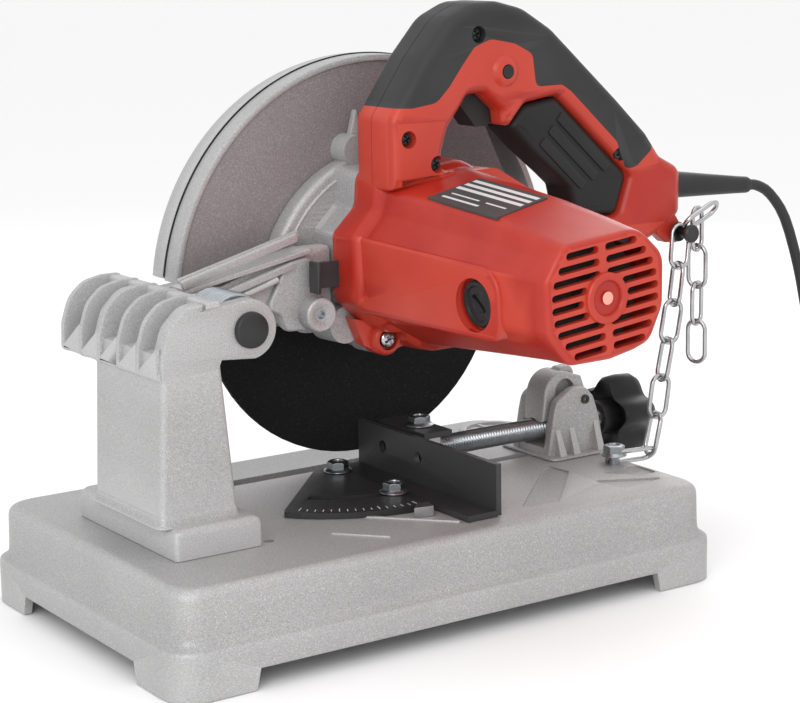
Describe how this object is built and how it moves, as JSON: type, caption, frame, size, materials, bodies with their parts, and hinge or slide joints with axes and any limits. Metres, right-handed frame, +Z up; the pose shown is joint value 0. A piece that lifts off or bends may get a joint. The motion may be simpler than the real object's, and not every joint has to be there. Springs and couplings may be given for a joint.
{
  "type": "abrasive chop saw",
  "caption": "Bench chop saw: stepped base with a screw vise and mitre fence, hinged head with motor, guarded abrasive disc, D-handle, hold-down chain and power lead.",
  "frame": {"origin": "on the floor, under the middle of the saw's box without its power lead", "axes": "+X from the hinge tower to the operator, +Y from the motor to the disc, +Z up"},
  "size_m": [0.5692, 0.2604, 0.2949],
  "materials": {
    "painted_casting": "silver sand-texture paint",
    "guard_plate": "mauve-grey textured paint",
    "red_housing": "satin red moulding",
    "soft_grip": "fine matt texture",
    "black_panel": "ribbed moulding",
    "black_steel": "satin black",
    "abrasive": "bonded grit, matt",
    "zinc_steel": "zinc plated",
    "bright_chain": "bright plated",
    "machined_steel": "turned and ground",
    "copper_winding": "varnished windings",
    "carbon": "matt",
    "cord_rubber": "smooth matt",
    "knob_plastic": "smooth moulding"
  },
  "bodies": {
    "base": {"base_casting": "painted_casting", "hinge_tower": "painted_casting", "tower_bolt_near": "zinc_steel", "tower_bolt_far": "zinc_steel", "hinge_pin": "black_steel", "return_spring": "machined_steel", "fence_pivot_bolt": "zinc_steel", "fence_lock_bolt": "zinc_steel", "angle_pointer": "machined_steel", "vise_bracket": "painted_casting", "release_pin": "black_steel", "chain_bolt": "zinc_steel", "chain_run": "bright_chain", "cord_lead": "cord_rubber", "cord_coil": "cord_rubber", "plug": "cord_rubber"},
    "fence": {"fence_angle": "black_steel"},
    "vise_carriage": {"jaw_block": "machined_steel", "jaw_bolt": "zinc_steel"},
    "jaw": {"vise_jaw": "black_steel"},
    "vise_spindle": {"vise_screw": "zinc_steel", "vise_knob": "knob_plastic"},
    "half_nut": {"release_nut": "painted_casting"},
    "head": {"arm_casting": "painted_casting", "gear_case": "painted_casting", "guard_inner": "guard_plate", "guard_outer": "painted_casting", "motor_housing": "red_housing", "housing_screw": "bright_chain", "brush_cap_left": "black_panel", "brush_cap_right": "black_panel", "carbon_brush_left": "carbon", "carbon_brush_right": "carbon", "stator": "machined_steel", "rotor_bearing_rear": "machined_steel", "rotor_bearing_front": "machined_steel", "spindle_bearing_inner": "machined_steel", "spindle_bearing_outer": "machined_steel", "handle_near": "red_housing", "handle_far": "red_housing", "grip_near": "soft_grip", "grip_far": "soft_grip", "front_panel": "black_panel", "handle_screw_upper": "black_steel", "handle_screw_lower": "black_steel", "switch_body": "carbon", "chain_hook_pin": "black_steel", "strain_relief": "cord_rubber", "chain_tail": "bright_chain"},
    "rotor": {"armature": "copper_winding", "cooling_fan": "carbon"},
    "disc_shaft": {"spindle": "machined_steel", "spindle_gear": "machined_steel", "inner_flange": "machined_steel", "outer_flange": "machined_steel", "disc_bolt": "zinc_steel", "abrasive_disc": "abrasive"},
    "trigger": {"trigger": "black_panel"},
    "lock_button": {"lock_button": "black_panel"},
    "shaft_lock": {"shaft_lock": "black_steel"}
  },
  "joints": [
    {"name": "arm_hinge", "type": "hinge", "parent": "base", "child": "head", "pos_m": [-0.1053, 0.0205, 0.1512], "axis": [0, 1, 0], "range_deg": [0, 11], "stiffness_Nm_per_rad": 8, "springref_deg": -51.57, "deforming": ["return_spring", "chain_run", "cord_lead"]},
    {"name": "spindle_spin", "type": "hinge", "parent": "head", "child": "disc_shaft", "pos_m": [0.0152, 0.0205, 0.149], "axis": [0, 1, 0], "continuous": true},
    {"name": "rotor_spin", "type": "hinge", "parent": "head", "child": "rotor", "pos_m": [0.0158, 0.0205, 0.16899], "axis": [0, 1, 0], "continuous": true},
    {"name": "trigger_squeeze", "type": "slide", "parent": "head", "child": "trigger", "axis": [0, 0, 1], "range_m": [0, 0.005], "stiffness_N_per_m": 500, "springref_m": -0.003},
    {"name": "lock_button_press", "type": "slide", "parent": "head", "child": "lock_button", "axis": [0, 1, 0], "range_m": [0, 0.003], "stiffness_N_per_m": 300, "springref_m": -0.002},
    {"name": "shaft_lock_slide", "type": "slide", "parent": "head", "child": "shaft_lock", "axis": [1, 0, 0], "range_m": [0, 0.003], "stiffness_N_per_m": 300, "springref_m": -0.002},
    {"name": "fence_swivel", "type": "hinge", "parent": "base", "child": "fence", "pos_m": [-0.0119, 0.0565, 0.05], "axis": [0, 0, 1], "range_deg": [0, 5]},
    {"name": "vise_travel", "type": "slide", "parent": "base", "child": "vise_carriage", "axis": [1, 0, 0], "range_m": [0, 0.05]},
    {"name": "jaw_swivel", "type": "hinge", "parent": "vise_carriage", "child": "jaw", "pos_m": [0.0255, 0.035, 0.075], "axis": [0, 0, 1], "range_deg": [0, 5]},
    {"name": "screw_turn", "type": "hinge", "parent": "vise_carriage", "child": "vise_spindle", "pos_m": [0.0375, 0.035, 0.0635], "axis": [1, 0, 0], "range_deg": [0, 10290]},
    {"name": "half_nut_lift", "type": "hinge", "parent": "base", "child": "half_nut", "pos_m": [0.1235, 0.035, 0.0798], "axis": [0, 1, 0], "range_deg": [0, 50]}
  ],
  "couplings": [
    {"joint": "rotor_spin", "follows": "spindle_spin", "ratio": -4},
    {"joint": "screw_turn", "follows": "vise_travel", "rad_per_m": 3590.4}
  ]
}
